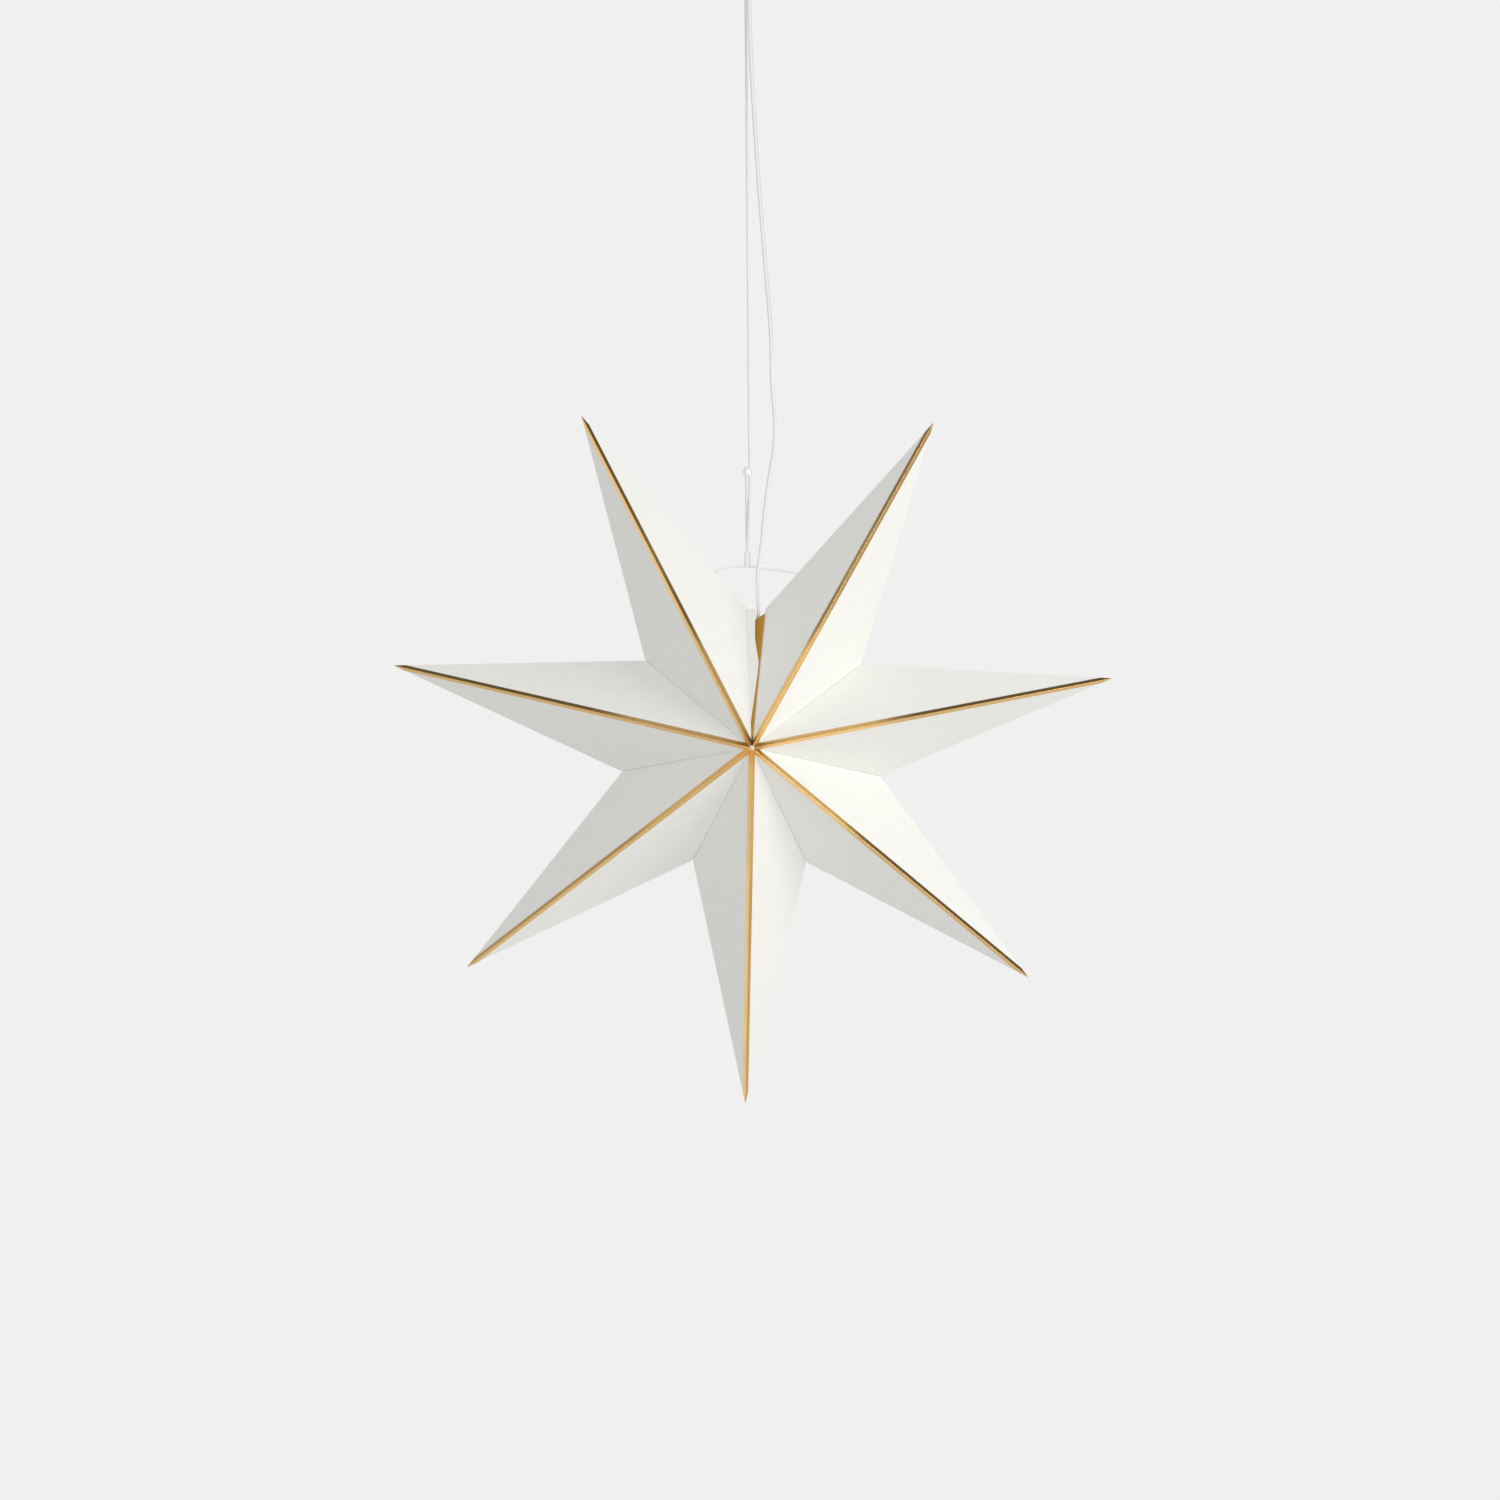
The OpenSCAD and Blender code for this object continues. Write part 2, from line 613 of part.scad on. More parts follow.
card_point(1);  // point_1
card_point(2);  // point_2
card_point(3);  // point_3
card_point(4);  // point_4
card_point(5);  // point_5
card_point(6);  // point_6
card_point(7);  // point_7
gold_edge(1);  // gold_edge_1
gold_edge(2);  // gold_edge_2
gold_edge(3);  // gold_edge_3
gold_edge(4);  // gold_edge_4
gold_edge(5);  // gold_edge_5
gold_edge(6);  // gold_edge_6
gold_edge(7);  // gold_edge_7
gold_seam_tab();
hanger_wire();
cord_clip();
suspension_cord();
cord_return();
cord_bead();
hanging_ring();
holder_cap();
holder_skirt();
holder_insert();
contact_shell();
contact_spring();
cord_grip();
bulb();
lead();
lead_coil();
coil_tie();
lead_tail();
plug_relief();
plug_body();
plug_pins();
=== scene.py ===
"""A folded white card star lantern with gilded ridges, hung from a cord."""

import logging
import math
from dataclasses import dataclass
from enum import Enum
from typing import Callable, Sequence

import bmesh
import bpy
import numpy as np
from mathutils import Matrix, Vector


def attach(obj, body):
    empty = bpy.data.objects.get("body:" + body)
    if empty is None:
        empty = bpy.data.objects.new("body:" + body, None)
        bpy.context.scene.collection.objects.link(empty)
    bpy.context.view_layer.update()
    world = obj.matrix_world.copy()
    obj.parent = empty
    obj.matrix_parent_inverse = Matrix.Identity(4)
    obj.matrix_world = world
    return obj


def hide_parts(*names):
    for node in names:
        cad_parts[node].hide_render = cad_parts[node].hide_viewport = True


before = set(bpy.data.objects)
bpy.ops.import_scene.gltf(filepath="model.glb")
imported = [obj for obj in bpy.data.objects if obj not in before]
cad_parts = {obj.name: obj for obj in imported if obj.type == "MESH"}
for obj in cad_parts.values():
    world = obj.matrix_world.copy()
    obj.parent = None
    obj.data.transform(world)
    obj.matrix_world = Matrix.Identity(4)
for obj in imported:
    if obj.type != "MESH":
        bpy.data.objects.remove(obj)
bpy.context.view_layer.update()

LOG = logging.getLogger("lantern")
MM = 0.001
POINTS = 7
DROP = 745 * MM
MERGE_GAP = 0.002 * MM
FLAT_TURN = 0.5
FACET_ANGLE = 8.0
SWEEP_ANGLE = 50.0
MOULD_ANGLE = 40.0
ROUTE_STEPS = 10
ROUND_SIDES = 16
GROOVE_STEPS = ((0.45, 0.0), (0.15, 0.8), (-0.15, 0.8), (-0.45, 0.0))
FACE_SHARE = 1.6
MIX_FIRST, MIX_SECOND, MIX_RESULT = 6, 7, 2
ROUNDING = 1e-9


class Axis(Enum):
    """The row's axes, as unit vectors."""

    X = (1.0, 0.0, 0.0)
    Y = (0.0, 1.0, 0.0)
    Z = (0.0, 0.0, 1.0)


def linear(code: str) -> tuple[float, float, float, float]:
    """Turns an sRGB hex colour to linear.

    Args:
        code: six hex digits, such as "D9A347".

    Returns:
        The linear red, green, blue and an alpha of 1.
    """
    parts = [int(code[i:i + 2], 16) / 255 for i in (0, 2, 4)]
    red, green, blue = (
        p / 12.92 if p <= 0.04045 else ((p + 0.055) / 1.055) ** 2.4 for p in parts
    )
    return red, green, blue, 1.0


def add_node(tree: bpy.types.NodeTree, kind: str, links: dict | None = None, **settings):
    """Adds a node with its settings and links.

    Args:
        tree: the material's node tree.
        kind: the node's type, without its ShaderNode prefix.
        links: input name or number to the output socket that feeds it.
        **settings: node properties, and input values by name with _ for a space.

    Returns:
        The new node.
    """
    node = tree.nodes.new("ShaderNode" + kind)
    for name, value in settings.items():
        if hasattr(node, name) and name not in node.inputs:
            setattr(node, name, value)
        else:
            node.inputs[name.replace("_", " ")].default_value = value
    for socket, output in (links or {}).items():
        tree.links.new(output, node.inputs[socket])
    return node


def new_material(name: str) -> tuple[bpy.types.Material, bpy.types.NodeTree]:
    """Makes an empty node material.

    Args:
        name: the material's name.

    Returns:
        The material and its node tree.
    """
    material = bpy.data.materials.new(name)
    material.use_nodes = True
    material.node_tree.nodes.clear()
    return material, material.node_tree


def add_noise(
    tree: bpy.types.NodeTree, place: bpy.types.Node, size_mm: float, detail: float,
) -> bpy.types.NodeSocket:
    """Adds a noise pattern of a real size, fixed to the piece.

    Args:
        tree: the material's node tree.
        place: its coordinate node.
        size_mm: the pattern's size in millimetres.
        detail: the pattern's detail.

    Returns:
        The pattern's output.
    """
    noise = add_node(
        tree, "TexNoise", {"Vector": place.outputs["Object"]},
        Scale=1 / (size_mm * MM), Detail=detail,
    )
    return noise.outputs["Fac"]


def add_mix(
    tree: bpy.types.NodeTree, factor: bpy.types.NodeSocket, first: str, second: str,
) -> bpy.types.NodeSocket:
    """Adds a mix of two colours.

    Args:
        tree: the material's node tree.
        factor: the output that gives the second colour's share.
        first: the first colour, as six hex digits.
        second: the second colour, as six hex digits.

    Returns:
        The mixed colour's output.
    """
    mix = add_node(tree, "Mix", {0: factor}, data_type="RGBA")
    mix.inputs[MIX_FIRST].default_value = linear(first)
    mix.inputs[MIX_SECOND].default_value = linear(second)
    return mix.outputs[MIX_RESULT]


@dataclass(frozen=True)
class CoatedCard:
    """Clay-coated white card, calendered smooth: matt, with faint fibre and soft waves."""

    name: str = "coated_card"
    colour: str = "F5F5F1"
    shade: str = "F0F0EB"
    roughness: float = 0.72
    fibre_mm: float = 0.5
    wave_mm: float = 46.0
    tint_mm: float = 9.0
    wave_depth_mm: float = 0.6
    wave_strength: float = 0.5
    fibre_depth_mm: float = 0.03
    fibre_strength: float = 0.12

    def build(self) -> bpy.types.Material:
        """Builds the material and returns it."""
        material, tree = new_material(self.name)
        place = add_node(tree, "TexCoord")
        colour = add_mix(
            tree, add_noise(tree, place, self.tint_mm, 3.0), self.colour, self.shade,
        )
        soft = add_node(
            tree, "Bump", {"Height": add_noise(tree, place, self.wave_mm, 1.0)},
            Strength=self.wave_strength, Distance=self.wave_depth_mm * MM,
        )
        fibre = add_noise(tree, place, self.fibre_mm, 4.0)
        bump = add_node(
            tree, "Bump", {"Height": fibre, "Normal": soft.outputs["Normal"]},
            Strength=self.fibre_strength, Distance=self.fibre_depth_mm * MM,
        )
        shader = add_node(
            tree, "BsdfPrincipled", {"Base Color": colour, "Normal": bump.outputs["Normal"]},
            Roughness=self.roughness,
        )
        add_node(tree, "OutputMaterial", {"Surface": shader.outputs["BSDF"]})
        return material


@dataclass(frozen=True)
class GoldFoil:
    """Hot-stamped metallic foil: a fine grain that follows the card, softly mirrored."""

    name: str = "gold_foil"
    colour: str = "FFD894"
    deep: str = "F6C67E"
    roughness: float = 0.26
    metallic: float = 1.0
    grain_mm: float = 0.8
    wave_mm: float = 30.0
    grain_depth_mm: float = 0.02
    grain_strength: float = 0.2

    def build(self) -> bpy.types.Material:
        """Builds the material and returns it."""
        material, tree = new_material(self.name)
        place = add_node(tree, "TexCoord")
        colour = add_mix(tree, add_noise(tree, place, self.wave_mm, 2.0), self.colour, self.deep)
        bump = add_node(
            tree, "Bump", {"Height": add_noise(tree, place, self.grain_mm, 3.0)},
            Strength=self.grain_strength, Distance=self.grain_depth_mm * MM,
        )
        shader = add_node(
            tree, "BsdfPrincipled", {"Base Color": colour, "Normal": bump.outputs["Normal"]},
            Roughness=self.roughness, Metallic=self.metallic,
        )
        add_node(tree, "OutputMaterial", {"Surface": shader.outputs["BSDF"]})
        return material


@dataclass(frozen=True)
class SmoothFinish:
    """A smooth moulded, coated, plated or glazed surface with a fine grain."""

    name: str
    colour: str
    roughness: float
    grain_mm: float = 0.6
    grain_depth_mm: float = 0.02
    metallic: float = 0.0
    coat: float = 0.0
    grain_strength: float = 0.3

    def build(self) -> bpy.types.Material:
        """Builds the material and returns it."""
        material, tree = new_material(self.name)
        place = add_node(tree, "TexCoord")
        bump = add_node(
            tree, "Bump", {"Height": add_noise(tree, place, self.grain_mm, 3.0)},
            Strength=self.grain_strength, Distance=self.grain_depth_mm * MM,
        )
        shader = add_node(
            tree, "BsdfPrincipled", {"Normal": bump.outputs["Normal"]},
            Base_Color=linear(self.colour), Roughness=self.roughness, Metallic=self.metallic,
            Coat_Weight=self.coat,
        )
        add_node(tree, "OutputMaterial", {"Surface": shader.outputs["BSDF"]})
        return material


@dataclass(frozen=True)
class BraidedCord:
    """Braided nylon: crossed strands half a millimetre wide, drawn at their true pitch."""

    name: str = "braided_nylon"
    colour: str = "F0F0EE"
    # The darker colour below is painted shade for the hollows between the strands.
    shade: str = "D8D8D5"
    strand_mm: float = 0.5
    strands: int = 8
    wave_scale: float = 0.35
    depth_mm: float = 0.1
    depth_strength: float = 0.4
    roughness: float = 0.6

    def build(self) -> bpy.types.Material:
        """Builds the material and returns it."""
        material, tree = new_material(self.name)
        place = add_node(tree, "UVMap", uv_map="along")
        waves = []
        for lean in (1.0, -1.0):
            mapped = add_node(
                tree, "Mapping", {"Vector": place.outputs["UV"]},
                Scale=(self.strands, lean / (self.strand_mm * MM) / 2, 1.0),
            )
            waves.append(add_node(
                tree, "TexWave", {"Vector": mapped.outputs["Vector"]},
                bands_direction="DIAGONAL", Scale=self.wave_scale,
            ))
        weave = add_node(
            tree, "Math", {0: waves[0].outputs["Fac"], 1: waves[1].outputs["Fac"]},
            operation="MAXIMUM",
        )
        # Painted shade: the low places of the weave, between the strands, take the darker colour;
        # the strand crowns take the pale one.
        colour = add_mix(tree, weave.outputs["Value"], self.shade, self.colour)
        bump = add_node(
            tree, "Bump", {"Height": weave.outputs["Value"]},
            Strength=self.depth_strength, Distance=self.depth_mm * MM,
        )
        shader = add_node(
            tree, "BsdfPrincipled", {"Base Color": colour, "Normal": bump.outputs["Normal"]},
            Roughness=self.roughness,
        )
        add_node(tree, "OutputMaterial", {"Surface": shader.outputs["BSDF"]})
        return material


class Finishes:
    """All the lantern's finishes, built once."""

    def __init__(self) -> None:
        """Builds every material."""
        self.card = CoatedCard().build()
        self.foil = GoldFoil().build()
        self.gilt = GoldFoil(
            "gilt_card", "E3AA3C", "D69C30", roughness=0.6, metallic=0.45,
        ).build()
        self.braid = BraidedCord().build()
        self.wire = SmoothFinish("coated_steel_wire", "F4F4F2", 0.35, coat=0.2).build()
        self.bead = SmoothFinish("glossy_acrylic", "FAFAF8", 0.12, coat=0.5).build()
        self.clip = SmoothFinish("moulded_nylon", "F2F2F0", 0.4).build()
        self.shell = SmoothFinish("thermoset_shell", "F0EFEB", 0.3, coat=0.2).build()
        self.insert = SmoothFinish("steatite", "E6E1D4", 0.7).build()
        self.contact = SmoothFinish("pressed_brass", "D2B16A", 0.35, metallic=1.0).build()
        self.opal = SmoothFinish("opal_glass", "F7F7F3", 0.1, grain_depth_mm=0.004).build()
        self.sheath = SmoothFinish("soft_vinyl", "ECECE9", 0.42, grain_mm=1.2).build()
        self.plug = SmoothFinish("moulded_vinyl", "EDEDEA", 0.5, grain_mm=0.9).build()
        self.pins = SmoothFinish("nickel_plate", "CFCCC4", 0.22, metallic=1.0).build()


def select_only(piece: bpy.types.Object) -> None:
    """Selects one object alone and makes it active.

    Args:
        piece: the object.
    """
    bpy.ops.object.select_all(action="DESELECT")
    piece.select_set(True)
    bpy.context.view_layer.objects.active = piece


def copy_of(node: str, name: str) -> bpy.types.Object:
    """Copies a frame solid, with its loose triangles merged to closed faces.

    Args:
        node: the solid's node.
        name: the new piece's name.

    Returns:
        The new piece.
    """
    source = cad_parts[node]
    piece = bpy.data.objects.new(name, source.data.copy())
    piece.data.materials.clear()
    bpy.context.collection.objects.link(piece)
    select_only(piece)
    bpy.ops.object.mode_set(mode="EDIT")
    bpy.ops.mesh.select_all(action="SELECT")
    bpy.ops.mesh.remove_doubles(threshold=MERGE_GAP)
    bpy.ops.mesh.dissolve_limited(angle_limit=math.radians(FLAT_TURN))
    bpy.ops.mesh.select_all(action="DESELECT")
    bpy.ops.object.mode_set(mode="OBJECT")
    return piece


def bevel_edges(
    piece: bpy.types.Object, chosen: Callable[[bmesh.types.BMEdge], bool],
    width: float, segments: int, clamp: bool = True,
) -> None:
    """Rounds the edges that a test chooses, with the bevel operator.

    Args:
        piece: the piece.
        chosen: says of an edge whether it is rounded.
        width: the bevel's width in metres.
        segments: the number of faces across the round.
        clamp: whether short neighbouring edges hold the width back.
    """
    select_only(piece)
    bpy.ops.object.mode_set(mode="EDIT")
    bpy.ops.mesh.select_mode(type="EDGE")
    bpy.ops.mesh.select_all(action="DESELECT")
    mesh = bmesh.from_edit_mesh(piece.data)
    for edge in mesh.edges:
        edge.select_set(chosen(edge))
    bmesh.update_edit_mesh(piece.data)
    bpy.ops.mesh.bevel(offset=width, segments=segments, clamp_overlap=clamp)
    bpy.ops.mesh.select_all(action="DESELECT")
    bpy.ops.object.mode_set(mode="OBJECT")


def sharper(limit: float) -> Callable[[bmesh.types.BMEdge], bool]:
    """Makes the test for edges whose faces turn by more than an angle.

    Args:
        limit: the angle in radians.

    Returns:
        A test that says of an edge whether it is sharper.
    """
    return lambda edge: len(edge.link_faces) == 2 and edge.calc_face_angle(0) > limit


def smooth(piece: bpy.types.Object, angle: float) -> None:
    """Shades a piece smooth, apart from edges sharper than an angle.

    Args:
        piece: the piece.
        angle: the angle in degrees.
    """
    select_only(piece)
    bpy.ops.object.shade_smooth_by_angle(angle=math.radians(angle))


def settle(
    piece: bpy.types.Object, material: bpy.types.Material, nodes: Sequence[str],
) -> bpy.types.Object:
    """Dresses a piece and hands it to the frame.

    Args:
        piece: the piece.
        material: its finish.
        nodes: the frame solids that it stands for.

    Returns:
        The piece.
    """
    piece.data.materials.clear()
    piece.data.materials.append(material)
    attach(piece, "root")
    if nodes:
        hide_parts(*nodes)
    LOG.info("%s: %d faces", piece.name, len(piece.data.polygons))
    return piece


def spline(points: Sequence[Sequence[float]], steps: int) -> np.ndarray:
    """Runs one smooth curve through given points.

    Args:
        points: the points, each of any number of values.
        steps: the stretches between two points.

    Returns:
        The points along the curve, one a row.
    """
    p = np.array(points, float)
    last = len(p) - 1
    rows = []
    for i in range(last):
        a, b, c, d = p[max(i - 1, 0)], p[i], p[i + 1], p[min(i + 2, last)]
        for t in np.arange(steps) / steps:
            rows.append(0.5 * (
                2 * b + (c - a) * t + (2 * a - 5 * b + 4 * c - d) * t * t
                + (3 * b - a - 3 * c + d) * t ** 3
            ))
    rows.append(p[last])
    return np.array(rows)


def from_centre(points: np.ndarray) -> np.ndarray:
    """Turns millimetres from the star's centre to metres in the frame.

    Args:
        points: the points, one a row.

    Returns:
        The same points in the frame.
    """
    return points * MM - np.array([0, 0, DROP])


def oval(half_width: float, half_height: float, sides: int) -> np.ndarray:
    """Returns an oval outline.

    Args:
        half_width: half of its width in metres.
        half_height: half of its height in metres.
        sides: the number of its corners.

    Returns:
        The corners, one a row.
    """
    turn = np.arange(sides) / sides * math.tau
    return np.stack([half_width * np.cos(turn), half_height * np.sin(turn)], 1)


def twin_outline(half_width: float, half_height: float, groove: float) -> np.ndarray:
    """Returns the outline of a flat twin lead, with a shallow groove along each face.

    Args:
        half_width: half of its width in metres.
        half_height: half of its thickness in metres.
        groove: the groove's depth in metres.

    Returns:
        The corners, one a row.
    """
    straight = half_width - half_height
    rows = []
    for side in (1, -1):
        for turn in np.radians(np.arange(-75, 76, 15) + (0 if side > 0 else 180)):
            rows.append((
                side * straight + half_height * math.cos(turn), half_height * math.sin(turn),
            ))
        for share, depth in GROOVE_STEPS:
            rows.append((
                side * share * straight * FACE_SHARE, side * (half_height - groove * depth),
            ))
    return np.array(rows)


def sweep(
    name: str, path: np.ndarray, wide: np.ndarray, outline: np.ndarray,
) -> bpy.types.Object:
    """Sweeps an outline along a path as a closed tube, with its length in a UV map.

    Args:
        name: the piece's name.
        path: the points that it follows, in metres.
        wide: the direction of the outline's width at each point.
        outline: the outline's corners.

    Returns:
        The new piece.
    """
    count, sides = len(path), len(outline)
    forward = np.gradient(path, axis=0)
    forward /= np.linalg.norm(forward, axis=1)[:, None]
    across = wide - (wide * forward).sum(1)[:, None] * forward
    across /= np.linalg.norm(across, axis=1)[:, None]
    up = np.cross(forward, across)
    corners = (
        path[:, None] + outline[None, :, 0:1] * across[:, None]
        + outline[None, :, 1:2] * up[:, None]
    ).reshape(-1, 3)
    faces = [
        (i * sides + s, i * sides + (s + 1) % sides,
         (i + 1) * sides + (s + 1) % sides, (i + 1) * sides + s)
        for i in range(count - 1) for s in range(sides)
    ]
    faces.append(tuple(reversed(range(sides))))
    faces.append(tuple((count - 1) * sides + s for s in range(sides)))
    mesh = bpy.data.meshes.new(name)
    mesh.from_pydata([tuple(c) for c in corners], [], faces)
    length = np.concatenate([[0], np.linalg.norm(np.diff(path, axis=0), axis=1).cumsum()])
    layer = mesh.uv_layers.new(name="along")
    for face in mesh.polygons[:-2]:
        ring, side = divmod(face.index, sides)
        for corner, (step, turn) in zip(face.loop_indices, ((0, 0), (0, 1), (1, 1), (1, 0))):
            layer.data[corner].uv = ((side + turn) / sides, length[ring + step])
    piece = bpy.data.objects.new(name, mesh)
    bpy.context.collection.objects.link(piece)
    smooth(piece, SWEEP_ANGLE)
    return piece


@dataclass
class StarCard:
    """The seven folded points and their gilding.

    The card's folds are rounded by the thickness of the card, the foil over them too.
    """

    fold_round: float = 0.3 * MM
    valley_round: float = 0.75 * MM
    fold_steps: int = 3
    pitch: float = 50.45
    seam_side: float = 23.6
    seam_turn: float = 1.5
    tip_reach: float = 300 * MM
    valley_reach: float = 109.4 * MM
    half_depth: float = 95 * MM
    band_half: float = 2.7 * MM
    band_root: float = 1.0
    band_end: float = 0.85
    tab_lift: float = 20.0
    tab_drop: float = 0.35 * MM
    tab_start: float = 0.12 * MM
    edge_share: float = 0.9
    line_slack: float = 0.02 * MM
    plane_slack: float = 0.0005
    turn_slack: float = 0.1
    hub_radius: float = 2 * MM
    middle_slack: float = 0.05 * MM
    shortest_fold: float = 5 * MM

    def directions(self, turn: float) -> tuple[Vector, Vector]:
        """Returns the way out and the way across at a clockwise angle.

        Args:
            turn: the angle from straight up, in degrees.

        Returns:
            The two unit vectors.
        """
        angle = math.radians(turn)
        return (
            Vector((math.sin(angle), 0.0, math.cos(angle))),
            Vector((math.cos(angle), 0.0, -math.sin(angle))),
        )

    def tip_turn(self, number: int) -> float:
        """Returns the clockwise angle from straight up to a point's tip, in degrees."""
        gap = 360 - POINTS * self.pitch
        return self.seam_turn + gap / 2 + self.pitch / 2 + (number - 1) * self.pitch

    def is_ridge(self, number: int) -> Callable[[bmesh.types.BMEdge], bool]:
        """Makes the test for the front and back ridge of one point.

        Args:
            number: the point's number.

        Returns:
            A test that says of an edge whether it runs along the outer ridge.
        """
        out, side = self.directions(self.tip_turn(number))
        centre = Vector((0.0, 0.0, -DROP))

        def test(edge: bmesh.types.BMEdge) -> bool:
            """Says whether both of an edge's ends lie on the outer ridge."""
            for corner in edge.verts:
                place = corner.co - centre
                level = place.dot(out) / self.tip_reach + abs(place.y) / self.half_depth
                if abs(place.dot(side)) > self.line_slack or level < 1 - self.plane_slack:
                    return False
            return edge.calc_length() > self.shortest_fold

        return test

    def is_valley(self, number: int) -> Callable[[bmesh.types.BMEdge], bool]:
        """Makes the test for the four valley folds of one point.

        Args:
            number: the point's number.

        Returns:
            A test that says of an edge whether it runs along an outer valley fold.
        """
        middle = self.tip_turn(number)
        left = self.seam_side if number == 1 else self.pitch / 2

        def test(edge: bmesh.types.BMEdge) -> bool:
            """Says whether both of an edge's ends lie on one outer valley fold."""
            for corner in edge.verts:
                x, y, z = corner.co.x, corner.co.y, corner.co.z + DROP
                radius = math.hypot(x, z)
                level = radius / self.valley_reach + abs(y) / self.half_depth
                turn = (math.degrees(math.atan2(x, z)) - middle + 180) % 360 - 180
                far = min(abs(turn + left), abs(turn - self.pitch / 2))
                if far > self.turn_slack and radius > self.hub_radius:
                    return False
                if abs(level - 1) > self.plane_slack:
                    return False
            return edge.calc_length() > self.shortest_fold

        return test

    def build_card(self, number: int, finishes: Finishes) -> None:
        """Builds one folded point with rounded ridges and valleys.

        Args:
            number: the point's number.
            finishes: the finishes.
        """
        piece = copy_of(f"point_{number}", f"card_point_{number}")
        bevel_edges(piece, self.is_ridge(number), self.fold_round, self.fold_steps)
        bevel_edges(
            piece, self.is_valley(number), self.valley_round, self.fold_steps, clamp=False,
        )
        if number == 1:
            self.lift_tab(piece)
        smooth(piece, FACET_ANGLE)
        settle(piece, finishes.card, [f"point_{number}"])

    def narrow(self, piece: bpy.types.Object, number: int) -> None:
        """Narrows a foil band towards the tip, along the card that it lies on.

        Args:
            piece: the foil band.
            number: the point's number.
        """
        out, side = self.directions(self.tip_turn(number))
        for corner in piece.data.vertices:
            place = corner.co + Vector((0.0, 0.0, DROP))
            across = place.dot(side)
            if abs(across) > self.edge_share * self.band_half:
                seam = number == 1 and across < 0
                half = math.radians(self.seam_side if seam else self.pitch / 2)
                fall = (1 - self.valley_reach / self.tip_reach * math.cos(half)) / (
                    self.valley_reach * math.sin(half))
                share = max(place.dot(out), 0.0) / self.tip_reach
                move = abs(across) * (1 - self.band_root + (self.band_root - self.band_end) * share)
                corner.co -= side * move * math.copysign(1.0, across)
                if abs(place.y) > self.middle_slack:
                    corner.co.y += move * fall * self.half_depth * math.copysign(1.0, place.y)
                else:
                    corner.co += out * move * fall * self.tip_reach

    def lift_tab(self, piece: bpy.types.Object) -> None:
        """Turns the seam's gilded tabs up towards the flat tabs, about their fold lines.

        Args:
            piece: the piece that holds the tabs, front and back.
        """
        out, side = self.directions(self.tip_turn(1) - self.seam_side)
        for face in (-1.0, 1.0):
            apex = Vector((0.0, face * self.half_depth, -DROP))
            line = out * self.valley_reach - Vector((0.0, face * self.half_depth, 0.0))
            line.normalize()
            inward = line.cross(side) * face
            roll = Matrix.Rotation(math.radians(-face * self.tab_lift), 3, line)
            for corner in piece.data.vertices:
                place = corner.co - apex
                if corner.co.y * face > 0 and place.dot(side) < -self.tab_start:
                    corner.co = apex + roll @ place + inward * self.tab_drop

    def build_foil(self, number: int, finishes: Finishes) -> None:
        """Builds the gilding of one point.

        Args:
            number: the point's number.
            finishes: the finishes.
        """
        piece = copy_of(f"gold_edge_{number}", f"gilt_edge_{number}")
        self.narrow(piece, number)
        bevel_edges(piece, self.is_ridge(number), self.fold_round, self.fold_steps)
        smooth(piece, FACET_ANGLE)
        settle(piece, finishes.foil, [f"gold_edge_{number}"])

    def build(self, finishes: Finishes) -> None:
        """Builds the seven points.

        Args:
            finishes: the finishes.
        """
        for number in range(1, POINTS + 1):
            self.build_card(number, finishes)
            self.build_foil(number, finishes)
        tab = copy_of("gold_seam_tab", "gilt_seam_tab")
        self.lift_tab(tab)
        smooth(tab, FACET_ANGLE)
        settle(tab, finishes.gilt, ["gold_seam_tab"])


@dataclass
class Suspension:
    """The taut cord from the ring to the clip, its return strand, bead and clip."""

    cord_radius: float = 1.0 * MM
    main_route: tuple = (
        (0, 0, 734), (0, 0, 700), (0, 0, 600), (0, 0, 500), (0, 0, 400),
        (0, 0, 300), (0, 0, 230), (0, 0, 210),
        (-0.6, -0.3, 195), (-1.5, -0.9, 175), (-2.5, -1.15, 160), (-2.5, -1.15, 148.6),
    )
    return_route: tuple = (
        (-2.5, 1.15, 148.6), (-2.5, 1.15, 160), (-2.7, 0.9, 175), (-2.7, 0.3, 195),
        (-2.7, 0, 210), (-2.7, 0, 224.7),
    )
    sharp_turn: float = 0.7
    round_steps: int = 2

    def build_cord(
        self, name: str, route: Sequence, node: str, finishes: Finishes,
    ) -> tuple[bpy.types.Object, np.ndarray]:
        """Builds one strand of the cord.

        Args:
            name: the piece's name.
            route: its points in millimetres, counted from the star's centre.
            node: the frame solid that it stands for.
            finishes: the finishes.

        Returns:
            The piece and its path.
        """
        path = from_centre(spline(route, ROUTE_STEPS))
        wide = np.tile(Axis.X.value, (len(path), 1))
        piece = sweep(name, path, wide, oval(self.cord_radius, self.cord_radius, ROUND_SIDES))
        settle(piece, finishes.braid, [node])
        return piece, path

    def build_small(self, finishes: Finishes) -> dict[str, bpy.types.Object]:
        """Builds the bead, the clip and the ring.

        Args:
            finishes: the finishes.

        Returns:
            The pieces by name.
        """
        pieces = {}
        for node, finish, slot, width in (
            ("cord_bead", finishes.bead, "bead", 0.12), ("cord_clip", finishes.clip, "clip", 0.2),
            ("hanging_ring", finishes.clip, "ring", 0.25),
        ):
            piece = copy_of(node, f"{node}_moulded")
            bevel_edges(piece, sharper(self.sharp_turn), width * MM, self.round_steps)
            smooth(piece, MOULD_ANGLE)
            pieces[node] = settle(piece, finish, [node])
        return pieces

    def build(self, finishes: Finishes) -> None:
        """Builds the suspension and its two strands.

        Args:
            finishes: the finishes.
        """
        small = self.build_small(finishes)
        main, path = self.build_cord("taut_cord", self.main_route, "suspension_cord", finishes)
        strand, back = self.build_cord("return_strand", self.return_route, "cord_return", finishes)


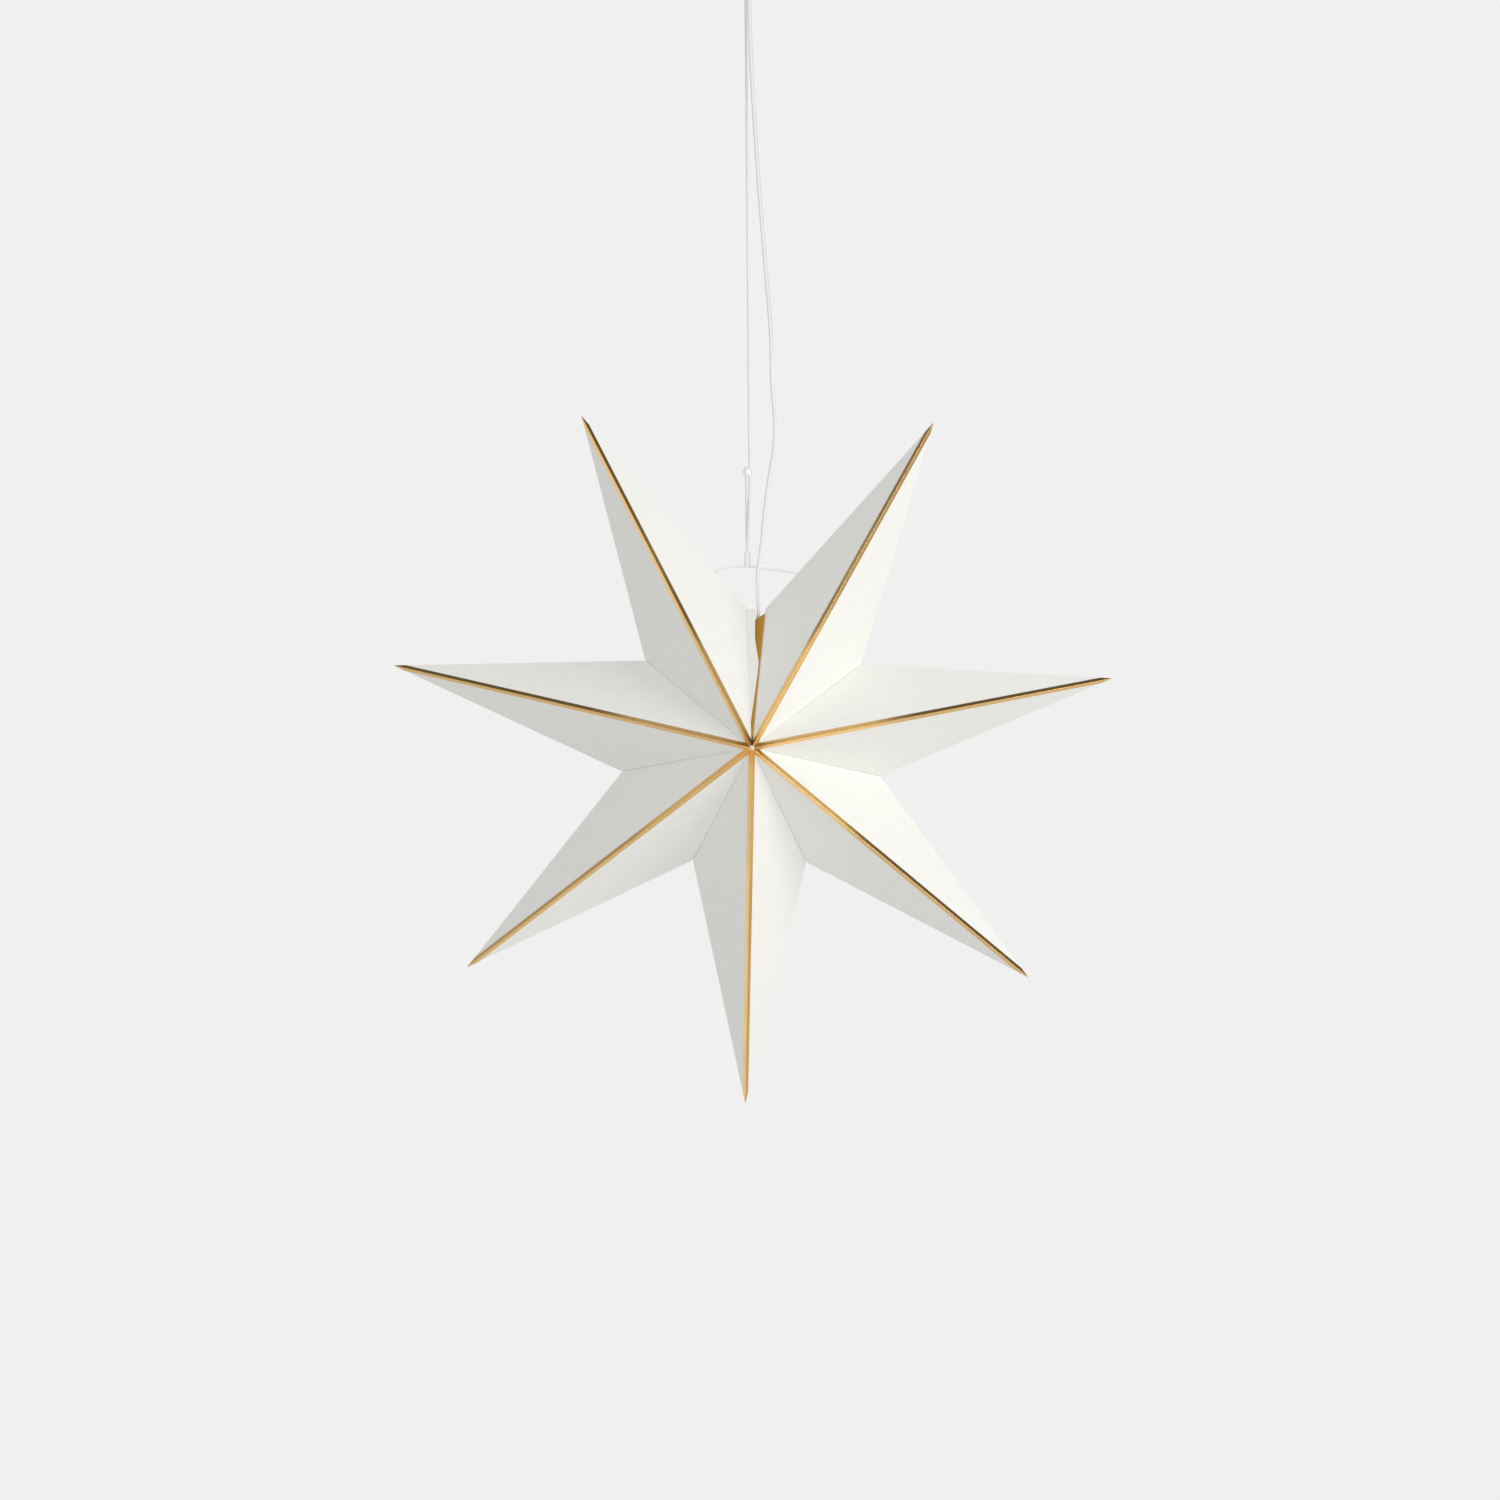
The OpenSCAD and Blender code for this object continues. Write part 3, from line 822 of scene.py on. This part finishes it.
@dataclass
class Hanger:
    """The wire arch over the seam, whose legs hold the lampholder."""

    wire_radius: float = 0.75 * MM
    middle: float = 3.5
    hook_up: float = 54.0
    leg: tuple = ((11, 0), (13, 0), (15, 0), (18, 2.5), (22, 14), (30, 40), (38, 66))
    arch: tuple = (
        (-34.1, 132.8), (-32.6, 137.6), (-28.6, 138.8), (-19.6, 142.4), (-9.5, 143.0),
        (-2.5, 143.4), (5.5, 142.2), (15.5, 140.5), (25.6, 139.5), (38.6, 137.1),
        (42.6, 135.7), (44.1, 131.1),
    )

    def build(self, finishes: Finishes) -> None:
        """Sweeps the wire from one hook over the arch to the other.

        Args:
            finishes: the finishes.
        """
        left = [(self.middle - x, 0, self.hook_up + z) for x, z in self.leg]
        right = [(self.middle + x, 0, self.hook_up + z) for x, z in reversed(self.leg)]
        route = left + [(x, 0, z) for x, z in self.arch] + right
        path = from_centre(spline(route, ROUTE_STEPS))
        wide = np.tile(Axis.Y.value, (len(path), 1))
        outline = oval(self.wire_radius, self.wire_radius, ROUND_SIDES)
        piece = sweep("hanger_wire_bent", path, wide, outline)
        settle(piece, finishes.wire, ["hanger_wire"])


@dataclass
class Lamp:
    """The lampholder and its bulb."""

    shade_angle: float = 35.0

    def build(self, finishes: Finishes) -> bpy.types.Object:
        """Builds the lampholder and the bulb.

        Args:
            finishes: the finishes.

        Returns:
            The cord grip.
        """
        grip = None
        for node, finish, slot in (
            ("holder_cap", finishes.shell, "holder"), ("holder_skirt", finishes.shell, "holder"),
            ("holder_insert", finishes.insert, "insert"),
            ("contact_shell", finishes.contact, "contacts"),
            ("contact_spring", finishes.contact, "contacts"),
            ("cord_grip", finishes.shell, "holder"), ("bulb", finishes.opal, "opal"),
        ):
            piece = copy_of(node, f"{node}_made")
            smooth(piece, self.shade_angle)
            settle(piece, finish, [node])
            grip = piece if node == "cord_grip" else grip
        return grip


@dataclass
class Lead:
    """The flat twin lead, from the lampholder to the plug, with its spare length coiled."""

    half_width: float = 2.4 * MM
    half_height: float = 1.4 * MM
    groove: float = 0.35 * MM
    route: tuple = (
        (3.5, 0, 67, 90), (3.5, 0, 78, 90), (3.7, 0, 88, 90), (5, 0, 96, 90),
        (6.3, -0.5, 104, 90), (6.2, -2, 113, 90), (5.6, -4, 125, 90), (6, -5.5, 138, 90),
        (7.6, -6, 150, 90), (9.7, -6, 165, 90), (12, -5.5, 188, 90), (15.6, -5, 214, 90),
        (19.6, -4, 236, 90), (21, -3, 256, 90), (20.2, -2, 275, 80), (19.3, -2, 295, 45),
        (19.5, -2, 315, 15), (18.9, -2, 335, 0), (16.4, -2, 370, 0), (13.2, -2, 412, 0),
        (10.2, -2.5, 452, 0), (7.4, -3, 500, 0), (5, -3.5, 545, 0), (3.8, -4, 590, 0),
        (3.7, -4.2, 630, 0), (3.7, -4.2, 660, 0), (3.7, -4.2, 692, 0),
    )
    columns: int = 4
    layers: int = 4
    coil_radius: float = 28.8
    coil_place: tuple = (3.7, 28.8, 692)
    coil_steps: int = 72
    move_start: float = 0.5
    move_share: float = 0.25
    step_over: float = 1.74
    tail_bend: float = 20.0
    tail_out: float = 8.0
    plug_place: float = 42.05
    relief_level: float = 701.0
    relief_len: float = 23.0
    relief_lap: float = 3.0
    route_steps: int = 8
    tail_gap: float = 2.0
    tail_steps: int = 8
    bend_step: int = 10
    last_share: float = 0.25
    sharp_turn: float = 0.3
    round_steps: int = 3

    def cell(self, number: int) -> tuple[float, float]:
        """Returns a turn's sideways place and radius in the coil, in millimetres."""
        column, layer = divmod(number, self.layers)
        level = self.layers - 1 - layer if column % 2 == 0 else layer
        width, height = 2 * self.half_width / MM, 2 * self.half_height / MM
        middle = (self.layers - 1) / 2
        return self.coil_place[0] + column * width, self.coil_radius + (level - middle) * height

    def coil(self) -> np.ndarray:
        """Winds the coil: every turn moves to its next cell in the same quarter.

        Returns:
            The points along the coil, in millimetres from the star's centre.
        """
        last = self.columns * self.layers - 1
        total = last + self.last_share
        rows = []
        for place in np.linspace(0, total, int(total * self.coil_steps) + 1):
            number = int(place + ROUNDING)
            share = min(max((place - number - self.move_start) / self.move_share, 0.0), 1.0)
            share = share * share * (3 - 2 * share)
            here, there = self.cell(number), self.cell(min(number + 1, last))
            side = here[0] + (there[0] - here[0]) * share
            radius = here[1] + (there[1] - here[1]) * share
            off = (place - number - self.move_start - self.move_share / 2) * math.tau
            ends_column = number % self.layers == self.layers - 1 and number < last
            if ends_column and abs(off) < math.pi / 2:
                way = 1 if (number // self.layers) % 2 else -1
                radius += way * self.step_over * (1 + math.cos(2 * off)) / 2
            turn = place * math.tau
            rows.append((
                side, self.coil_place[1] - radius * math.cos(turn),
                self.coil_place[2] + radius * math.sin(turn),
            ))
        return np.array(rows)

    def tail(self, start: np.ndarray) -> np.ndarray:
        """Works out the lead's end, over the coil's back and down into the plug.

        Args:
            start: the coil's last point, in millimetres.

        Returns:
            The points in millimetres from the star's centre.
        """
        side, depth, level = start
        plug = self.coil_place[1] + self.plug_place
        rows = [(side, depth + self.tail_out / 2, level), (side, depth + self.tail_out, level)]
        for turn in np.radians(np.arange(0, 91, self.bend_step)):
            rows.append((
                side, plug - self.tail_bend + self.tail_bend * math.sin(turn),
                level - self.tail_bend + self.tail_bend * math.cos(turn),
            ))
        top = level - self.tail_bend - self.tail_gap
        bottom = self.relief_level - self.relief_len + self.relief_lap
        rows += [(side, plug, z) for z in np.linspace(top, bottom, self.tail_steps)]
        return np.array(rows)

    def build(self, finishes: Finishes, grip: bpy.types.Object) -> None:
        """Args:
            finishes: the finishes.
            grip: the lampholder's cord grip; not used.
        """
        run = spline(self.route, self.route_steps)
        turns = self.coil()
        end = self.tail(turns[-1])
        path = np.concatenate([run[:-1, :3], turns, end])
        turn = np.concatenate([np.radians(run[:-1, 3]), np.zeros(len(turns) + len(end))])
        wide = np.stack([np.cos(turn), np.sin(turn), np.zeros(len(turn))], 1)
        path = from_centre(path)
        piece = sweep(
            "flat_lead", path, wide, twin_outline(self.half_width, self.half_height, self.groove),
        )
        settle(piece, finishes.sheath, ["lead", "lead_coil", "lead_tail"])
        for node, finish, slot, width in (
            ("coil_tie", finishes.clip, "clip", 0.2), ("plug_relief", finishes.plug, "plug", 0.3),
            ("plug_body", finishes.plug, "plug", 1.2), ("plug_pins", finishes.pins, "pins", 0.0),
        ):
            part = copy_of(node, f"{node}_made")
            if width:
                bevel_edges(part, sharper(self.sharp_turn), width * MM, self.round_steps)
            smooth(part, MOULD_ANGLE)
            settle(part, finish, [node])


@dataclass
class Studio:
    """Camera, soft light and a plain pale surround."""

    lens: float = 81.85
    sensor: float = 36.0
    distance: float = 2.8
    elevation: float = 3.4
    roll: float = -0.47
    aim: tuple = (-1.5 * MM, 0.0, -DROP - 7.4 * MM)
    surround: str = "F0F0F0"
    ambient: float = 0.61
    key_place: tuple = (2.3, -1.5, 0.75)
    key_size: float = 1.6
    key_power: float = 26.5
    fill_place: tuple = (0.9, -3.3, 0.5)
    fill_size: float = 1.8
    fill_power: float = 22.0
    shade_side: tuple = (0.37, 0.0, 0.93)
    shade_span: tuple = (-0.6, 0.7)
    shade_low: float = 0.12
    floor_size: float = 6.0
    floor_drop: float = 1.9
    floor_glow: str = "909090"

    def build_camera(self) -> None:
        """Places the camera at the photograph's angle."""
        rise = math.radians(self.elevation)
        back = Vector((0.0, -math.cos(rise), math.sin(rise)))
        data = bpy.data.cameras.new("camera")
        data.lens = self.lens
        data.sensor_width = self.sensor
        camera = bpy.data.objects.new("camera", data)
        bpy.context.collection.objects.link(camera)
        camera.location = Vector(self.aim) + back * self.distance
        turn = Matrix.Rotation(math.pi / 2 - rise, 3, "X") @ Matrix.Rotation(
            math.radians(self.roll), 3, "Z")
        camera.rotation_euler = turn.to_euler()
        bpy.context.scene.camera = camera

    def build_lamp(
        self, name: str, place: Sequence[float], size: float, power: float, colour: str,
    ) -> None:
        """Hangs one soft lamp that faces the star.

        Args:
            name: the lamp's name.
            place: its place in metres from the star's centre.
            size: the side of its square face in metres.
            power: its power in watts.
            colour: its colour.
        """
        data = bpy.data.lights.new(name, "AREA")
        data.size = size
        data.energy = power
        data.color = linear(colour)[:3]
        lamp = bpy.data.objects.new(name, data)
        bpy.context.collection.objects.link(lamp)
        lamp.location = Vector(place) + Vector((0, 0, -DROP))
        lamp.rotation_euler = Vector(place).to_track_quat("Z", "Y").to_euler()

    def build_world(self) -> None:
        """Sets a plain pale surround that the camera and gloss see."""
        world = bpy.data.worlds.new("surround")
        bpy.context.scene.world = world
        world.use_nodes = True
        tree = world.node_tree
        tree.nodes.clear()
        path = add_node(tree, "LightPath")
        glossy = add_node(
            tree, "Math",
            {0: path.outputs["Is Camera Ray"], 1: path.outputs["Is Glossy Ray"]}, operation="ADD",
        )
        direct = add_node(
            tree, "Math", {0: glossy.outputs[0], 1: path.outputs["Is Transmission Ray"]},
            operation="ADD", use_clamp=True,
        )
        place = add_node(tree, "TexCoord")
        rise = add_node(
            tree, "VectorMath", {0: place.outputs["Generated"]}, operation="DOT_PRODUCT",
        )
        rise.inputs[1].default_value = self.shade_side
        shade = add_node(
            tree, "MapRange", {"Value": rise.outputs["Value"]}, interpolation_type="SMOOTHSTEP",
            From_Min=self.shade_span[0], From_Max=self.shade_span[1],
            To_Min=1.0, To_Max=self.shade_low,
        )
        level = add_node(
            tree, "Math", {0: path.outputs["Is Camera Ray"], 1: shade.outputs["Result"]},
            operation="MAXIMUM",
        )
        seen = add_node(
            tree, "Background", {"Strength": level.outputs[0]}, Color=linear(self.surround),
        )
        light = add_node(tree, "Background", Color=linear("FFFFFF"), Strength=self.ambient)
        mix = add_node(
            tree, "MixShader",
            {0: direct.outputs[0], 1: light.outputs[0], 2: seen.outputs[0]},
        )
        add_node(tree, "OutputWorld", {"Surface": mix.outputs[0]})

    def build_floor(self) -> None:
        """Lays a plain pale floor well below the star."""
        bpy.ops.object.select_all(action="DESELECT")
        bpy.ops.mesh.primitive_plane_add(
            size=self.floor_size, location=(0, 0, -DROP - self.floor_drop),
        )
        floor = bpy.context.active_object
        floor.name = "floor"
        material, tree = new_material("pale_floor")
        path = add_node(tree, "LightPath")
        matt = add_node(tree, "BsdfDiffuse", Color=linear(self.surround))
        glow = add_node(
            tree, "Emission", {"Strength": path.outputs["Is Camera Ray"]},
            Color=linear(self.floor_glow),
        )
        both = add_node(tree, "AddShader", {0: matt.outputs[0], 1: glow.outputs[0]})
        add_node(tree, "OutputMaterial", {"Surface": both.outputs[0]})
        floor.data.materials.append(material)

    def build(self) -> None:
        """Builds the studio."""
        scene = bpy.context.scene
        scene.view_settings.view_transform = "Standard"
        self.build_camera()
        self.build_world()
        self.build_floor()
        self.build_lamp("key_softbox", self.key_place, self.key_size, self.key_power, "FFFDF8")
        self.build_lamp("front_fill", self.fill_place, self.fill_size, self.fill_power, "FFFFFF")
        LOG.info("studio ready")


def main() -> None:
    """Builds the lantern, piece by piece."""
    logging.basicConfig(level=logging.INFO, format="%(name)s %(message)s")
    finishes = Finishes()
    Studio().build()
    grip = Lamp().build(finishes)
    Lead().build(finishes, grip)
    Suspension().build(finishes)
    Hanger().build(finishes)
    StarCard().build(finishes)


if __name__ == "__main__":
    main()
